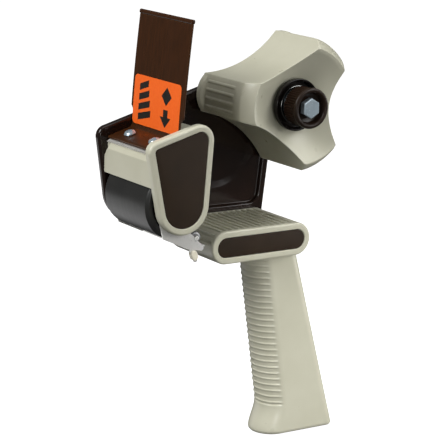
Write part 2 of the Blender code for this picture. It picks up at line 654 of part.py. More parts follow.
def make_handle(finish):
    """The ribbed thumb platform and the grip, in one moulding."""
    handle = belt_plate("handle", PLATFORM_OUTLINE, PLATFORM_NEAR, RIM_FACE - GAP, finish, edge=0.8)
    levels = [(z, 0.0) for z in (-83, -100, -125, -150, -170, FLARE_TOP, -181, -186, -190)]
    levels += [(BUTT_Z + 2.0, 0.0), (BUTT_Z + 0.6, 0.6), (BUTT_Z, 2.0)]
    join(handle, loft("grip", [grip_ring(z, inset) for z, inset in levels]))
    recess = belt_plate("platform_recess", PLATFORM_OUTLINE, PLATFORM_NEAR - 1, PLATFORM_NEAR + 1.6, grow=-RIM_WIDTH)
    cut(handle, recess)
    bm = bmesh.new()
    top = PLATFORM_Z + PLATFORM_RADIUS
    for i in range(GROOVE_COUNT):
        x = GROOVE_REAR - i * GROOVE_PITCH
        slot = belt([(x, -15.5, GROOVE_HALF_WIDTH), (x, 20.5, GROOVE_HALF_WIDTH)], step=math.radians(60))
        skin(bm, [[world(a, b, z) for a, b in slot] for z in (top - GROOVE_DEPTH, top + 1)])
    cut(handle, object_from("grooves", bm, None))
    for place in HANDLE_SCREWS.values():
        drill(handle, place, SCREW_RADIUS + GAP, 10.0, RIM_FACE)
    return handle


def make_platform_insert(finish):
    near, far = PLATFORM_NEAR + 0.4, PLATFORM_NEAR + 1.3
    return belt_plate("platform_insert", PLATFORM_OUTLINE, near, far, finish, edge=0.3, grow=-RIM_WIDTH - GAP)


def make_screws(steel):
    for name, y in FLAP_SCREWS.items():
        make_flap_screw(f"flap_screw_{name}", y, steel)
    for name, place in COVER_SCREWS.items():
        make_frame_screw(f"cover_screw_{name}", place, 11.0, steel)
    for name, place in HANDLE_SCREWS.items():
        make_frame_screw(f"handle_screw_{name}", place, 11.0, steel)


def build():
    clear_scene()
    beige = material("beige_plastic", (0.56, 0.54, 0.43), 0.45)
    dark = material("dark_brown_plastic", (0.02, 0.012, 0.009), 0.2)
    insert = material("insert_brown", (0.04, 0.028, 0.022), 0.6)
    brown = material("brown_plastic", (0.05, 0.02, 0.008), 0.35)
    black = material("black_plastic", (0.01, 0.01, 0.01), 0.2)
    rubber = material("black_rubber", (0.02, 0.02, 0.02), 0.5)
    orange = material("orange_label", (1.0, 0.15, 0.02), 0.5)
    nickel = material("nickel_steel", (0.75, 0.74, 0.7), 0.2, 1.0)
    zinc = material("zinc_steel", (0.6, 0.65, 0.7), 0.25, 1.0)
    knurled = material("knurled_steel", (0.3, 0.3, 0.3), 0.4, 1.0)
    cream = material("cream_nylon", (0.8, 0.76, 0.6), 0.5)
    felt = material("grey_felt", (0.1, 0.1, 0.1), 0.9)
    make_side_frame(dark)
    make_handle(beige)
    make_platform_insert(insert)
    make_head_cover(beige)
    make_head_insert(insert)
    make_flap_foot(brown)
    make_wipe_flap(brown)
    make_flap_label(orange)
    make_cutter_blade(nickel)
    make_screws(nickel)
    make_roller(rubber, black)
    make_roller_axle(zinc)
    make_nip(nickel, knurled, cream)
    make_nip_spring(zinc)
    make_tape_hub(beige)
    make_spindle(zinc, black, cream)
    make_brake(felt, black, brown, nickel, zinc)
    make_brake_spring(zinc)


build()
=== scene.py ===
"""Looks of a pistol-grip tape dispenser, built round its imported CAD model.

Lengths are millimetres from the middle of the tape hub's axis: x to the rear, y to the frame's side and
z up. at() turns them into the frame's metres.
"""

import json
import math

import bmesh
import bpy
from mathutils import Matrix, Vector


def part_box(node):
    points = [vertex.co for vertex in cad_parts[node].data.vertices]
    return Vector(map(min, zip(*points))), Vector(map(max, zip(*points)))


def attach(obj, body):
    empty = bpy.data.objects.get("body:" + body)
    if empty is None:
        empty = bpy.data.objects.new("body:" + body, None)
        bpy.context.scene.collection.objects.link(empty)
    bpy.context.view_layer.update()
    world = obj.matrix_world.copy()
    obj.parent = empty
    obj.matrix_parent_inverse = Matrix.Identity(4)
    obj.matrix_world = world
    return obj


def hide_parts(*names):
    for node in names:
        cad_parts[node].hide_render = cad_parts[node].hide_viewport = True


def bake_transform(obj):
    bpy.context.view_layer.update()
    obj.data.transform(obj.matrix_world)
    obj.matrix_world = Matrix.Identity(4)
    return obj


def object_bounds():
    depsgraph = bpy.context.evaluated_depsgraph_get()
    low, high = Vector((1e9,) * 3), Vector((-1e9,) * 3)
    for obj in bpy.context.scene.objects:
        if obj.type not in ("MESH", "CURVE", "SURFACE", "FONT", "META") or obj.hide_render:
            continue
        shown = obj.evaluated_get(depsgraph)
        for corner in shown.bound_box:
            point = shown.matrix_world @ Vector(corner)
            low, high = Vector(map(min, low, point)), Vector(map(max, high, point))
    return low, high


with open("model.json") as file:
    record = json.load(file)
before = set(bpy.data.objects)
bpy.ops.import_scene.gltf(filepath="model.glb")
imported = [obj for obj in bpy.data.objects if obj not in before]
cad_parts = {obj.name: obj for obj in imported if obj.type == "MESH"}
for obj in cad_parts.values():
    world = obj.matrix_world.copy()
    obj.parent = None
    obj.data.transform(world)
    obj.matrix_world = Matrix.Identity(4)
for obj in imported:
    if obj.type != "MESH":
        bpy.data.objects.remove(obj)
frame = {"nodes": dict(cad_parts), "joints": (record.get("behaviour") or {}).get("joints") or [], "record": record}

MM = 0.001
CAD_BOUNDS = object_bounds()
JOINTS = {joint["name"]: joint for joint in frame["joints"]}
HUB = Vector(JOINTS["hub_spin"]["pos_m"])


def at(x, y, z):
    return HUB + Vector((x, y, z)) * MM


def extent(node, axis):
    """The lowest and highest coordinate of a CAD node along one axis, in millimetres from the hub."""
    low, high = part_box(node)
    return tuple((corner[axis] - HUB[axis]) / MM for corner in (low, high))


def joint_place(name):
    place = (Vector(JOINTS[name]["pos_m"]) - HUB) / MM
    return place.x, place.z


# Sizes read from the frame
ROLLER_AXIS = joint_place("roller_spin")
ONE_WAY_AXIS = joint_place("one_way_spin")
RIM_FACE, OUTER_FACE = extent("side_frame", 1)
NEAR_FACE = extent("head_cover", 1)[0]
COVER_FAR = extent("head_cover", 1)[1]
PLATFORM_NEAR, PLATFORM_FAR = extent("handle", 1)
BUTT_Z = extent("handle", 2)[0]
FLAP_TOP_Z = extent("wipe_flap", 2)[1]
KNOB_FRONT, KNOB_BACK = extent("brake_knob", 1)
HUB_FAR = extent("tape_hub", 1)[1]

SHARP_ANGLE = 32               # degrees between faces, above which an edge is shaded sharp
SOFT_EDGE = 0.15               # bevel on the nodes that keep their CAD shape

# Side frame
RECESS_DEPTH, DISH_DEPTH = 2.1, 1.1
DISH_CENTRE, DISH_RADIUS = (-25.5, -24.9), 29.0

# Head. Circles are (x, z, radius)
HEAD_SLOPE = math.radians(16)
HEAD_REAR, HEAD_FRONT, HEAD_LOW = (-70.8, -13.3, 9.0), (-96.6, -17.3, 5.9), (-79.9, -47.8, 15.9)
HEAD_CIRCLES = [HEAD_REAR, HEAD_FRONT, HEAD_LOW]
HEAD_INSIDE = -24.3            # inner face of the cover's side
COVER_FRONT, COVER_WALL = -98.7, 2.0
RIM_WIDTH = 3.7                # rim round the brown panels of the head and the platform
PANEL_RECESS = 1.6

# Flap and label
FOOT_POINT = (-89.5, -14.8)    # a point on the upper face of the flap's foot
BEND_X = -81.0
FLAP_HALF = 0.7                # half of the sheet's thickness
FLAP_WIDE, FLAP_NARROW = (-26.8, 26.3), (-24.0, 24.2)
FLAP_LEAN = 5.2                # how far the flap's top leans to the rear
FLAP_SHOULDER = -2.0           # height where the sheet widens
LABEL_Y, LABEL_Z = (-23.4, 23.8), (-10.4, 16.6)

# Platform and grip
PLATFORM = [(1.2, -76.2, 9.4), (-45.9, -76.2, 9.4)]
GROOVE_REAR, GROOVE_PITCH, GROOVE_HALF, GROOVE_DEPTH = -1.5, 4.0, 1.1, 1.3
GROOVE_NEAR, GROOVE_FAR = -16.2, 20.8
GROOVES_ON_TOP, GROOVES_ON_FRONT = 12, 3
GRIP_HALF, NOSE_RADIUS, REAR_RADIUS = 13.0, 12.5, 6.0
GRIP_HIGH = -94.0              # height where the grip's front and rear edges start
RIB_HIGH, RIB_LOW, RIB_PITCH, RIB_REACH, RIB_DEPTH = -87.0, -177.5, 3.6, 9.8, 0.45

# Hub
LOBE_ANGLE = math.radians(174.4)
CORE_RADIUS = 38.2
SCALLOP_DISTANCE, SCALLOP_RADIUS = 86.2, 64.1
HUB_WALL = 3.0
LIP_DISTANCE, LIP_RADIUS = 25.6, 15.0   # round lips at the lobes' far ends keep the roll off the frame
FACE_START, FACE_DEPTH = 14.2, -13.4   # radius and depth where the near face's cone starts
CREST_RADIUS, CREST = 32.8, -23.7      # radius and depth of the ridge where the cone ends
SHOULDER_END = -16.5                   # depth of the face at the lobes' outside

TENT = 0.10                    # how bright the tent is, against a backdrop of 1


# ---------------------------------------------------------------- materials

def srgb(red, green, blue):
    """Linear colour from 0-255 screen values."""
    parts = [value / 255 for value in (red, green, blue)]
    return tuple(p / 12.92 if p <= 0.04045 else ((p + 0.055) / 1.055) ** 2.4 for p in parts)


class Finish:
    """A Principled material, with helpers that wire procedural detail into it."""

    def __init__(self, name, metallic=0.0, settings=None):
        self.material = bpy.data.materials.new(name)
        self.material.use_nodes = True
        self.nodes = self.material.node_tree.nodes
        self.links = self.material.node_tree.links
        self.shader = self.nodes["Principled BSDF"]
        self.shader.inputs["Metallic"].default_value = metallic
        for socket, value in (settings or {}).items():
            self.shader.inputs[socket].default_value = value
        self.place = self.nodes.new("ShaderNodeTexCoord").outputs["Object"]
        self.normal = None

    def noise(self, scale, detail=2.0, stretch=(1.0, 1.0, 1.0)):
        """Noise whose cells are 1/scale metres across, divided by the stretch along each axis."""
        mapping = self.nodes.new("ShaderNodeMapping")
        mapping.inputs["Scale"].default_value = [scale * part for part in stretch]
        self.links.new(self.place, mapping.inputs["Vector"])
        noise = self.nodes.new("ShaderNodeTexNoise")
        noise.inputs["Scale"].default_value = 1.0
        noise.inputs["Detail"].default_value = detail
        self.links.new(mapping.outputs["Vector"], noise.inputs["Vector"])
        return noise.outputs["Fac"]

    def spread(self, factor, low, high, start=0.3, end=0.7):
        """The factor's start to end mapped to low to high, and held there outside."""
        ramp = self.nodes.new("ShaderNodeMapRange")
        self.links.new(factor, ramp.inputs["Value"])
        for socket, value in (("From Min", start), ("From Max", end), ("To Min", low), ("To Max", high)):
            ramp.inputs[socket].default_value = value
        return ramp.outputs["Result"]

    def edges(self, width):
        """1 on edges, fading to 0 over the width in metres."""
        bevel = self.nodes.new("ShaderNodeBevel")
        bevel.samples = 4
        bevel.inputs["Radius"].default_value = width
        geometry = self.nodes.new("ShaderNodeNewGeometry")
        dot = self.nodes.new("ShaderNodeVectorMath")
        dot.operation = "DOT_PRODUCT"
        self.links.new(bevel.outputs["Normal"], dot.inputs[0])
        self.links.new(geometry.outputs["Normal"], dot.inputs[1])
        return self.spread(dot.outputs["Value"], 1.0, 0.0, start=0.82, end=0.99)

    def mix(self, factor, first, second):
        """Blends two colours, each a colour or the output of another mix."""
        mix = self.nodes.new("ShaderNodeMix")
        mix.data_type = "RGBA"
        self.links.new(factor, mix.inputs[0])
        for socket, value in ((mix.inputs[6], first), (mix.inputs[7], second)):
            if isinstance(value, tuple):
                socket.default_value = (*value, 1.0)
            else:
                self.links.new(value, socket)
        return mix.outputs[2]

    def product(self, first, second):
        times = self.nodes.new("ShaderNodeMath")
        times.operation = "MULTIPLY"
        self.links.new(first, times.inputs[0])
        self.links.new(second, times.inputs[1])
        return times.outputs["Value"]

    def colour(self, value):
        self.links.new(value, self.shader.inputs["Base Color"])

    def roughness(self, value):
        self.links.new(value, self.shader.inputs["Roughness"])

    def bump(self, height, strength, depth):
        """Adds a bump of the depth in metres on top of any that is there already."""
        bump = self.nodes.new("ShaderNodeBump")
        bump.inputs["Strength"].default_value = strength
        bump.inputs["Distance"].default_value = depth
        self.links.new(height, bump.inputs["Height"])
        if self.normal:
            self.links.new(self.normal, bump.inputs["Normal"])
        self.normal = bump.outputs["Normal"]
        self.links.new(self.normal, self.shader.inputs["Normal"])


def moulded(name, main, shade, worn, roughness, grain, wave, gloss=0.5):
    """A moulded plastic: mottled colour, worn edges, uneven gloss, slow waves and fine grain."""
    edge_width, wave_depth, grain_depth = 0.0007, 0.0006, 0.00006
    finish = Finish(name, settings={"Specular IOR Level": gloss})
    mottle = finish.mix(finish.spread(finish.noise(55), 0.0, 1.0), main, shade)
    patches = finish.spread(finish.noise(420, detail=4.0), 0.15, 0.75)
    scuffs = finish.product(finish.edges(edge_width), patches)
    finish.colour(finish.mix(scuffs, mottle, worn))
    finish.roughness(finish.spread(finish.noise(160), *roughness, start=0.1, end=0.9))
    finish.bump(finish.noise(130, detail=1.0), wave, wave_depth)
    finish.bump(finish.noise(3600), grain, grain_depth)
    return finish.material


def beige_plastic():
    main, shade, worn = srgb(203, 201, 181), srgb(197, 195, 174), srgb(221, 219, 203)
    return moulded("beige_plastic", main, shade, worn, (0.26, 0.32), grain=0.02, wave=0.0)


def frame_plastic():
    main, shade, worn = srgb(36, 24, 19), srgb(29, 20, 16), srgb(60, 46, 38)
    return moulded("dark_brown_plastic", main, shade, worn, (0.10, 0.20), grain=0.04, wave=0.16, gloss=0.4)


def insert_plastic():
    main, shade, worn = srgb(47, 34, 21), srgb(41, 30, 19), srgb(76, 60, 46)
    return moulded("insert_brown", main, shade, worn, (0.46, 0.60), grain=0.5, wave=0.03, gloss=0.2)


def knob_plastic():
    main, shade, worn = srgb(40, 26, 17), srgb(31, 21, 14), srgb(66, 47, 36)
    return moulded("brown_plastic", main, shade, worn, (0.26, 0.38), grain=0.2, wave=0.03, gloss=0.25)


def black_plastic():
    main, shade, worn = srgb(20, 15, 12), srgb(15, 12, 10), srgb(44, 37, 33)
    return moulded("black_plastic", main, shade, worn, (0.08, 0.14), grain=0.05, wave=0.03, gloss=0.35)


def nylon():
    main, shade, worn = srgb(243, 238, 218), srgb(236, 230, 208), srgb(250, 247, 236)
    return moulded("cream_nylon", main, shade, worn, (0.30, 0.40), grain=0.1, wave=0.05)


def flap_plastic():
    """Flexible brown sheet, with drawn streaks and handling marks."""
    finish = Finish("flap_brown", settings={"Specular IOR Level": 0.3})
    streaks = finish.noise(900, detail=3.0, stretch=(1.0, 1.0, 0.06))
    base = finish.mix(finish.spread(streaks, 0.0, 1.0), srgb(63, 34, 13), srgb(51, 28, 10))
    finish.colour(finish.mix(finish.edges(0.0009), base, srgb(84, 54, 33)))
    smears = finish.noise(70, detail=6.0, stretch=(1.0, 1.0, 0.4))
    finish.roughness(finish.spread(smears, 0.22, 0.40))
    finish.bump(streaks, strength=0.05, depth=0.0001)
    return finish.material


def rubber():
    """Ground rubber: fine rings round the roller and a dusty bloom."""
    finish = Finish("black_rubber", settings={"Specular IOR Level": 0.6})
    bloom = finish.spread(finish.noise(60, detail=5.0), 0.0, 1.0)
    finish.colour(finish.mix(bloom, srgb(32, 32, 31), srgb(40, 40, 38)))
    rings = finish.noise(2600, detail=3.0, stretch=(0.02, 1.0, 0.02))
    finish.roughness(finish.spread(rings, 0.32, 0.44))
    finish.bump(rings, strength=0.25, depth=0.00008)
    finish.bump(finish.noise(2500), strength=0.15, depth=0.00005)
    return finish.material


def printed(name, main, shade, roughness):
    """Ink on film, slightly uneven."""
    finish = Finish(name)
    finish.colour(finish.mix(finish.spread(finish.noise(700, detail=4.0), 0.0, 1.0), main, shade))
    finish.roughness(finish.spread(finish.noise(300, detail=3.0), *roughness))
    finish.bump(finish.noise(5000), strength=0.1, depth=0.00003)
    return finish.material


def metal(name, main, shade, roughness, metallic=1.0):
    """Plated steel with fine scratches and cloudy patches."""
    finish = Finish(name, metallic=metallic)
    finish.colour(finish.mix(finish.spread(finish.noise(90, detail=3.0), 0.0, 1.0), main, shade))
    scratches = finish.noise(1500, detail=4.0)
    finish.roughness(finish.spread(scratches, *roughness, start=0.1, end=0.9))
    finish.bump(scratches, strength=0.015, depth=0.00002)
    return finish.material


def felt():
    """Matted fibres."""
    finish = Finish("grey_felt", settings={"Sheen Weight": 0.4})
    fibres = finish.noise(2400, detail=6.0)
    finish.colour(finish.mix(finish.spread(fibres, 0.0, 1.0), srgb(96, 95, 92), srgb(140, 138, 132)))
    finish.roughness(finish.spread(fibres, 0.85, 0.98))
    finish.bump(fibres, strength=0.8, depth=0.0003)
    return finish.material


def make_materials():
    nickel, nickel_shade = srgb(250, 249, 244), srgb(238, 236, 231)
    zinc, zinc_shade = srgb(206, 222, 231), srgb(192, 210, 221)
    return {
        "beige_plastic": beige_plastic(),
        "dark_brown_plastic": frame_plastic(),
        "insert_brown": insert_plastic(),
        "flap_brown": flap_plastic(),
        "brown_plastic": knob_plastic(),
        "black_plastic": black_plastic(),
        "black_rubber": rubber(),
        "orange_label": printed("orange_label", srgb(255, 112, 34), srgb(250, 103, 27), (0.38, 0.52)),
        "label_ink": printed("label_ink", srgb(26, 24, 20), srgb(34, 31, 26), (0.40, 0.55)),
        "nickel_steel": metal("nickel_steel", nickel, nickel_shade, (0.24, 0.36), metallic=0.5),
        "zinc_steel": metal("zinc_steel", zinc, zinc_shade, (0.20, 0.30), metallic=0.65),
        "polished_steel": metal("polished_steel", srgb(150, 150, 148), srgb(136, 136, 134), (0.10, 0.16)),
        "knurled_steel": metal("knurled_steel", srgb(150, 150, 150), srgb(118, 118, 118), (0.30, 0.45)),
        "cream_nylon": nylon(),
        "grey_felt": felt(),
    }


# ---------------------------------------------------------------- shape helpers

def object_from(name, bm, surface=None, sharp=SHARP_ANGLE):
    """A smooth-shaded object from a bmesh, with sharp edges above an angle in degrees."""
    bmesh.ops.recalc_face_normals(bm, faces=bm.faces)
    mesh = bpy.data.meshes.new(name)
    bm.to_mesh(mesh)
    bm.free()
    made = bpy.data.objects.new(name, mesh)
    bpy.context.scene.collection.objects.link(made)
    shade(made, sharp)
    if surface:
        mesh.materials.append(surface)
    return made


def shade(piece, sharp=SHARP_ANGLE):
    piece.data.shade_smooth()
    piece.data.set_sharp_from_angle(angle=math.radians(sharp))


def skin(bm, rings, closed=False):
    """Skins equal rings of points. A closed skin joins its last ring to its first, an open one has caps."""
    rows = [[bm.verts.new(point) for point in ring] for ring in rings]
    count = len(rows[0])
    pairs = list(zip(rows, rows[1:]))
    if closed:
        pairs.append((rows[-1], rows[0]))
    for low, high in pairs:
        for i in range(count):
            j = (i + 1) % count
            bm.faces.new((low[i], low[j], high[j], high[i]))
    if not closed:
        bm.faces.new(rows[0])
        bm.faces.new(rows[-1])


def loft(name, rings, surface=None, closed=False, sharp=SHARP_ANGLE):
    bm = bmesh.new()
    skin(bm, rings, closed)
    return object_from(name, bm, surface, sharp)


def around(axis, radius, angle, y):
    """A point at a radius and angle from a Y axis at (x, z)."""
    return at(axis[0] + radius * math.cos(angle), y, axis[1] + radius * math.sin(angle))


def turned(name, axis, profile, sides):
    """Turns (radius, y) points about a Y axis at (x, z)."""
    angles = [math.tau * i / sides for i in range(sides)]
    return loft(name, [[around(axis, radius, angle, y) for angle in angles] for radius, y in profile])


def belt(circles, grow):
    """The outline of a belt round (x, z, radius) circles, given anticlockwise, moved out by grow."""
    step = math.radians(5)
    count = len(circles)
    normals = []
    for i in range(count):
        ax, az, ar = circles[i]
        bx, bz, br = circles[(i + 1) % count]
        along = math.atan2(bz - az, bx - ax)
        normals.append(along - math.acos((ar - br) / math.hypot(bx - ax, bz - az)))
    outline = []
    for i, (x, z, radius) in enumerate(circles):
        first = normals[i - 1]
        turn = (normals[i] - first) % math.tau
        pieces = max(1, math.ceil(turn / step))
        for k in range(pieces + 1):
            angle = first + turn * k / pieces
            outline.append((x + (radius + grow) * math.cos(angle), z + (radius + grow) * math.sin(angle)))
    return outline


def quarter(radius, pieces=5):
    """(along, inset) pairs of a quarter round, from the flat face to the full side."""
    turns = [math.pi / 2 * k / pieces for k in range(pieces + 1)]
    return [(radius * (1 - math.cos(a)), radius * (1 - math.sin(a))) for a in turns]


def belt_plate(name, circles, y0, y1, surface, near_edge, far_edge=0.0, grow=0.0):
    """A plate across Y with a belt outline, and round edges of the two radii."""
    levels = [(y0 + rise, inset) for rise, inset in quarter(near_edge)]
    if far_edge:
        levels += [(y1 - rise, inset) for rise, inset in reversed(quarter(far_edge))]
    else:
        levels.append((y1, 0.0))
    rings = [[at(x, y, z) for x, z in belt(circles, grow - inset)] for y, inset in levels]
    return loft(name, rings, surface)


def belt_recess(name, circles, face, depth, grow, lip, slope, corner):
    """A cutter for a recess in a near face, with a rounded lip, a sloping wall and a rounded corner."""
    overshoot = 1.0
    levels = [(-overshoot, lip), *quarter(lip), (depth - corner, -slope)]
    for angle in (30, 60, 90):
        turn = math.radians(angle)
        levels.append((depth - corner * (1 - math.sin(turn)), -slope - corner * (1 - math.cos(turn))))
    rings = [[at(x, face + down, z) for x, z in belt(circles, grow + out)] for down, out in levels]
    return loft(name, rings)


def panel_recess(name, circles, face):
    """A cutter for the recess that holds a brown panel."""
    return belt_recess(name, circles, face, PANEL_RECESS, -RIM_WIDTH, lip=0.5, slope=0.0, corner=0.1)


def rounded(start, corner, end, pieces):
    """Points of a smooth bend from start to end, drawn towards the corner."""
    points = []
    for k in range(pieces + 1):
        t = k / pieces
        weights = ((1 - t) ** 2, 2 * t * (1 - t), t * t)
        columns = zip(start, corner, end)
        points.append(tuple(sum(w * v for w, v in zip(weights, values)) for values in columns))
    return points


def plate(name, outline, y0, y1):
    """A plate across Y with a plain (x, z) outline."""
    return loft(name, [[at(x, y, z) for x, z in outline] for y in (y0, y1)])


def combine(target, cuts=(), joins=()):
    """Applies booleans to the target, removes their helpers and shades the result."""
    steps = [(helper, "UNION") for helper in joins] + [(helper, "DIFFERENCE") for helper in cuts]
    for helper, operation in steps:
        modifier = target.modifiers.new(helper.name, "BOOLEAN")
        modifier.operation = operation
        modifier.solver = "EXACT"
        modifier.object = helper
    graph = bpy.context.evaluated_depsgraph_get()
    mesh = bpy.data.meshes.new_from_object(target.evaluated_get(graph), depsgraph=graph)
    target.modifiers.clear()
    target.data = mesh
    for helper, _ in steps:
        bpy.data.objects.remove(helper, do_unlink=True)
    shade(target)
    weigh_normals(target)


def weigh_normals(piece):
    """Keeps flat faces flat beside rounded edges."""
    weighted = piece.modifiers.new("face weights", "WEIGHTED_NORMAL")
    weighted.keep_sharp = True


def smooth_step(value):
    """0 below 0, 1 above 1, and a smooth rise between."""
    value = min(max(value, 0.0), 1.0)
    return value * value * (3 - 2 * value)


def smooth_min(a, b, reach):
    """The smaller of two lengths, with the corner between them rounded over a reach."""
    share = min(max(0.5 + 0.5 * (b - a) / reach, 0.0), 1.0)
    return b + (a - b) * share - reach * share * (1 - share)


def on_head(x, lift):
    """The (x, z) of a point above the flap foot's upper face, which slopes with the head's top."""
    z = FOOT_POINT[1] + (x - FOOT_POINT[0]) * math.tan(HEAD_SLOPE)
    return x - lift * math.sin(HEAD_SLOPE), z + lift * math.cos(HEAD_SLOPE)


def add_piece(piece, body, slot, *nodes):
    """Puts a piece on its body in place of CAD nodes."""
    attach(piece, body)
    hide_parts(*nodes)


# ---------------------------------------------------------------- pieces

def make_side_frame(surface):
    """Glossy plate with a rounded border, a recess and a round dish."""
    outline = [(0.0, 0.0, 15.9), HEAD_FRONT, (*ROLLER_AXIS, 17.2), (-47.0, -77.0, 6.0), (2.3, -78.5, 5.0)]
    shell = belt_plate("side_frame_shell", outline, RIM_FACE, OUTER_FACE, surface, 1.5, 1.5)
    opening = [(0.0, 0.0, 11.2), (-50.0, -9.5, 6.0), (-51.0, -57.7, 6.0), (-1.8, -57.2, 6.8)]
    lip, slope, corner = 1.1, 0.2, 0.7
    recess = belt_recess("frame_recess", opening, RIM_FACE, RECESS_DEPTH, 0.0, lip, slope, corner)
    web = RIM_FACE + RECESS_DEPTH
    floor = web + DISH_DEPTH
    profile = [
        (DISH_RADIUS + 2.5, web - 1.0), (DISH_RADIUS, web), (DISH_RADIUS - 0.6, web + 0.1),
        (DISH_RADIUS - 4.0, floor - 0.2), (DISH_RADIUS - 5.1, floor), (0.01, floor),
    ]
    combine(shell, [recess, turned("frame_dish", DISH_CENTRE, profile, sides=128)])
    add_piece(shell, "frame", "dark_brown_plastic", "side_frame")


def cover_section():
    """The (x, z) outline of the cover's front wall, top and rear lip."""
    top, thick = -2.7, 3.2         # both across the head's slope, from the foot's upper face
    front, front_inside = COVER_FRONT, COVER_FRONT + COVER_WALL
    rear, bottom, lip_bottom = -61.8, -37.0, -24.0
    rear_inside = rear - COVER_WALL
    corner = on_head(front_inside + 1.5, top - thick)
    inside = [
        (front + 0.3, bottom), (front_inside, bottom), (front_inside, corner[1] - 1.5), corner,
        on_head(rear_inside, top - thick), (rear_inside, lip_bottom), (rear, lip_bottom),
    ]
    outside = [
        on_head(rear, top), on_head(front + 2.1, top), on_head(front + 1.3, top - 0.3),
        (front + 0.2, -22.9), (front, -23.7), (front, bottom + 0.5),
    ]
    return inside + outside


def cover_wedge():
    """A cutter that takes the far upper corner off the cover's front wall."""
    cut, high, low = 3.4, -18.0, -27.5
    outline = [(low, 0.0), (high - 4.6, cut), (high, cut), (high, -1.0), (low, -1.0)]
    ends = (COVER_FRONT - 1, COVER_FRONT + COVER_WALL - 0.01)
    return loft("corner_wedge", [[at(x, COVER_FAR - inward, z) for z, inward in outline] for x in ends])


def make_head_cover(surface):
    """Side with its rounded rim, front wall, top and rear lip."""
    cover = belt_plate("head_cover_shell", HEAD_CIRCLES, NEAR_FACE, HEAD_INSIDE, surface, 1.5, 0.4)
    recess = panel_recess("head_recess", HEAD_CIRCLES, NEAR_FACE)
    shell = plate("cover_shell", cover_section(), HEAD_INSIDE - 0.5, COVER_FAR)
    combine(cover, [recess, cover_wedge()], [shell])
    add_piece(cover, "frame", "beige_plastic", "head_cover")


def make_insert(name, circles, face, node, surface):
    """A thin panel in a recess, with a crowned edge."""
    near, far, gap, crown = face + 0.4, face + 1.3, 0.15, 0.35
    panel = belt_plate(name, circles, near, far, surface, near_edge=crown, grow=-RIM_WIDTH - gap)
    add_piece(panel, "frame", "insert_brown", node)


def flap_x(z):
    """The flap stands up from the bend and leans back in a slight curve."""
    base = on_head(BEND_X, 0.0)[1]
    rise = max(z - base, 0.0) / (FLAP_TOP_Z - base)
    return BEND_X + FLAP_LEAN * rise**1.4


def flap_section():
    """Middle line and half thickness of the bent sheet, from the foot's front edge to the bead."""
    half = FLAP_HALF
    front_edge, *foot = (-97.0, -96.4, -95.0, -92.0, -89.0, -86.0, -84.6)
    line = [(*on_head(front_edge, -half), half * 0.6)]
    line += [(*on_head(x, -half), half) for x in foot]
    corner = on_head(BEND_X, -half)
    bend_start, bend_top = on_head(-84.2, -half), corner[1] + 3.2
    line += [(x, z, half) for x, z in rounded(bend_start, corner, (flap_x(bend_top), bend_top), 8)]
    bead_start, steps = FLAP_TOP_Z - 2.6, 40
    for k in range(1, steps + 1):
        z = bend_top + (bead_start - bend_top) * k / steps
        line.append((flap_x(z), z, half))
    return line + flap_bead(bead_start + 0.2)


def flap_bead(low):
    """The rest of the middle line: the round bead along the sheet's free edge."""
    steps, end_half, bead_half = 8, 0.25, 1.25
    line = []
    for k in range(steps + 1):
        turn = math.pi * k / steps
        z = low + (FLAP_TOP_Z - low) * (1 - math.cos(turn)) / 2
        line.append((flap_x(z), z, max(end_half, bead_half * math.sqrt(math.sin(turn)))))
    return line


def flap_edges(z):
    """The sheet's near and far edge at a height: narrow between the head's sides and wide above."""
    share = smooth_step((z - FLAP_SHOULDER + 1.0) / 1.4)
    return tuple(narrow + (wide - narrow) * share for narrow, wide in zip(FLAP_NARROW, FLAP_WIDE))


def flap_ring(line, i):
    """The sheet's section across its width at one point of its middle line, with rounded edges."""
    x, z, half = line[i]
    before, after = line[max(i - 1, 0)], line[min(i + 1, len(line) - 1)]
    along = Vector((after[0] - before[0], 0, after[1] - before[1])).normalized()
    lift = Vector((-along.z, 0, along.x)) * (half * MM)
    near, far = flap_edges(z)
    across, soft = 24, min(half, 0.45)
    ys = [near + (far - near) * k / across for k in range(across + 1)]
    ys[0], ys[-1] = near + soft, far - soft
    upper = [at(x, y, z) + lift for y in ys]
    lower = [at(x, y, z) - lift for y in reversed(ys)]
    return [*upper, at(x, far, z), *lower, at(x, near, z)]


def make_flap(surface):
    """One flexible sheet: screwed foot, bend and upright with a bead along its free edge."""
    line = flap_section()
    flap = loft("wipe_flap_sheet", [flap_ring(line, i) for i in range(len(line))], surface, sharp=50)
    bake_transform(flap)
    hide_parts("flap_foot", "wipe_flap")


def on_flap(y, z, lift):
    """A point in front of the flap's front face."""
    return at(flap_x(z) - FLAP_HALF - lift, y, z)


def flap_film(name, outline, lift, thick, surface):
    """A film with a (y, z) outline, laid on the flap and cut into level strips so that it can bend."""
    bm = bmesh.new()
    bm.faces.new([bm.verts.new((0.0, y, z)) for y, z in outline])
    low, high = min(z for _, z in outline), max(z for _, z in outline)
    strip = 1.5
    z = low + strip
    while z < high - 0.2:
        everything = bm.verts[:] + bm.edges[:] + bm.faces[:]
        bmesh.ops.bisect_plane(bm, geom=everything, plane_co=(0, 0, z), plane_no=(0, 0, 1))
        z += strip
    extruded = bmesh.ops.extrude_face_region(bm, geom=bm.faces[:])
    raised = {item for item in extruded["geom"] if isinstance(item, bmesh.types.BMVert)}
    for vert in bm.verts:
        vert.co = on_flap(vert.co.y, vert.co.z, lift + (thick if vert in raised else 0.0))
    film = object_from(name, bm, surface, 40)
    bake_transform(film)
    return film


def arc(y, z, radius, first, last, pieces=8):
    """(y, z) points along an arc, angles in degrees."""
    angles = [math.radians(first + (last - first) * k / pieces) for k in range(pieces + 1)]
    return [(y + radius * math.cos(a), z + radius * math.sin(a)) for a in angles]


